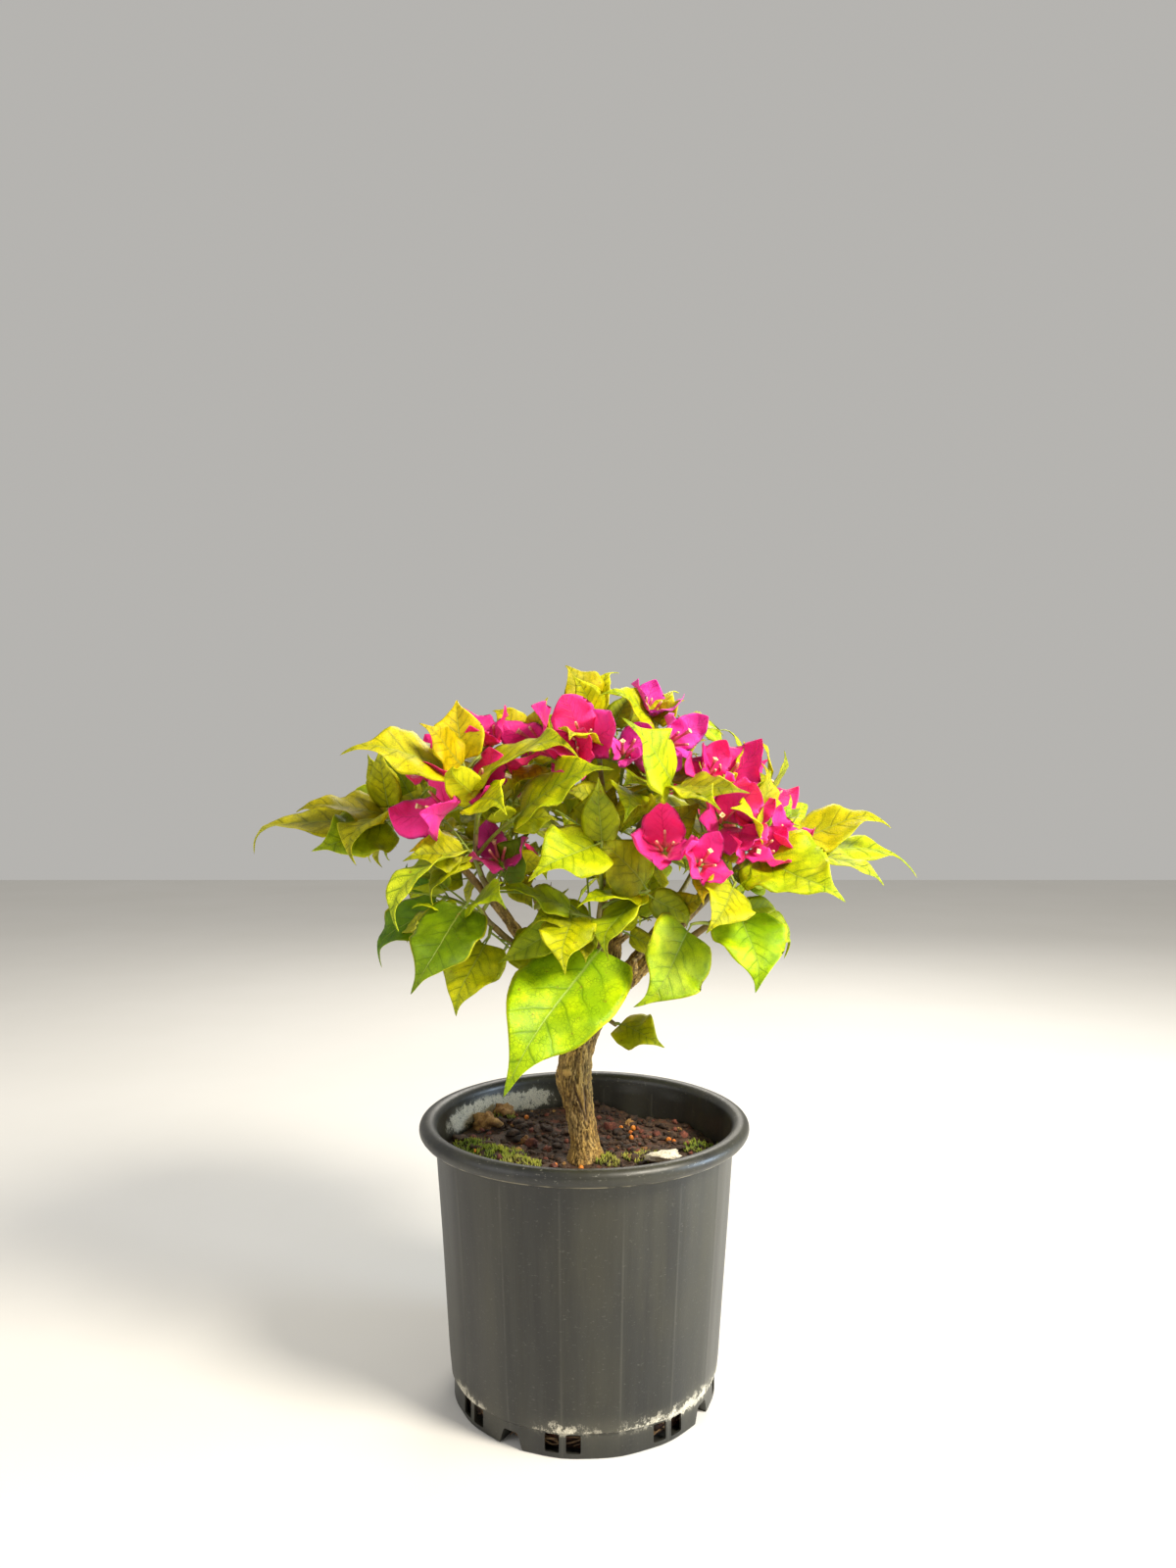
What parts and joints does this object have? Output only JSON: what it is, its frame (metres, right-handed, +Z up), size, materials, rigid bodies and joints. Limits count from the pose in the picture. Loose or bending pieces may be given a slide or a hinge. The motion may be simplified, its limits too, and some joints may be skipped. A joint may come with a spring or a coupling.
{
  "type": "potted bougainvillea",
  "caption": "Small bougainvillea with a leaning woody trunk, spreading boughs, broad yellow-green leaves and papery pink bracts, in a round plastic nursery pot filled with soil.",
  "frame": {"origin": "centre of the pot's flat underside", "axes": "+Z up; the front, the plant's chosen face, looks along -Y; +X is to the right as the front is seen"},
  "size_m": [0.41, 0.2475, 0.44],
  "materials": {
    "pot": "dark grey moulded polypropylene, satin, scuffed and dusty",
    "soil": "moist potting mix with bark, scoria and moss",
    "bark": "ridged grey-brown bark",
    "foliage": "thin yellow-green leaves and papery pink bracts on green twigs"
  },
  "bodies": {
    "root": {"pot": "pot", "soil": "soil", "trunk": "bark", "bough_left": "bark", "bough_left_far": "bark", "bough_left_low": "bark", "bough_front": "bark", "bough_centre": "bark", "bough_top_right": "bark", "bough_right": "bark", "bough_right_far": "bark", "bough_right_low": "bark", "bough_back_left": "bark", "bough_back": "bark", "bough_back_right": "bark", "foliage_left": "foliage", "foliage_left_top": "foliage", "foliage_left_low": "foliage", "foliage_front": "foliage", "foliage_top": "foliage", "foliage_top_right": "foliage", "foliage_right": "foliage", "foliage_right_far": "foliage", "foliage_right_low": "foliage", "foliage_trunk": "foliage", "foliage_back_left": "foliage", "foliage_back": "foliage", "foliage_back_right": "foliage"}
  },
  "joints": []
}
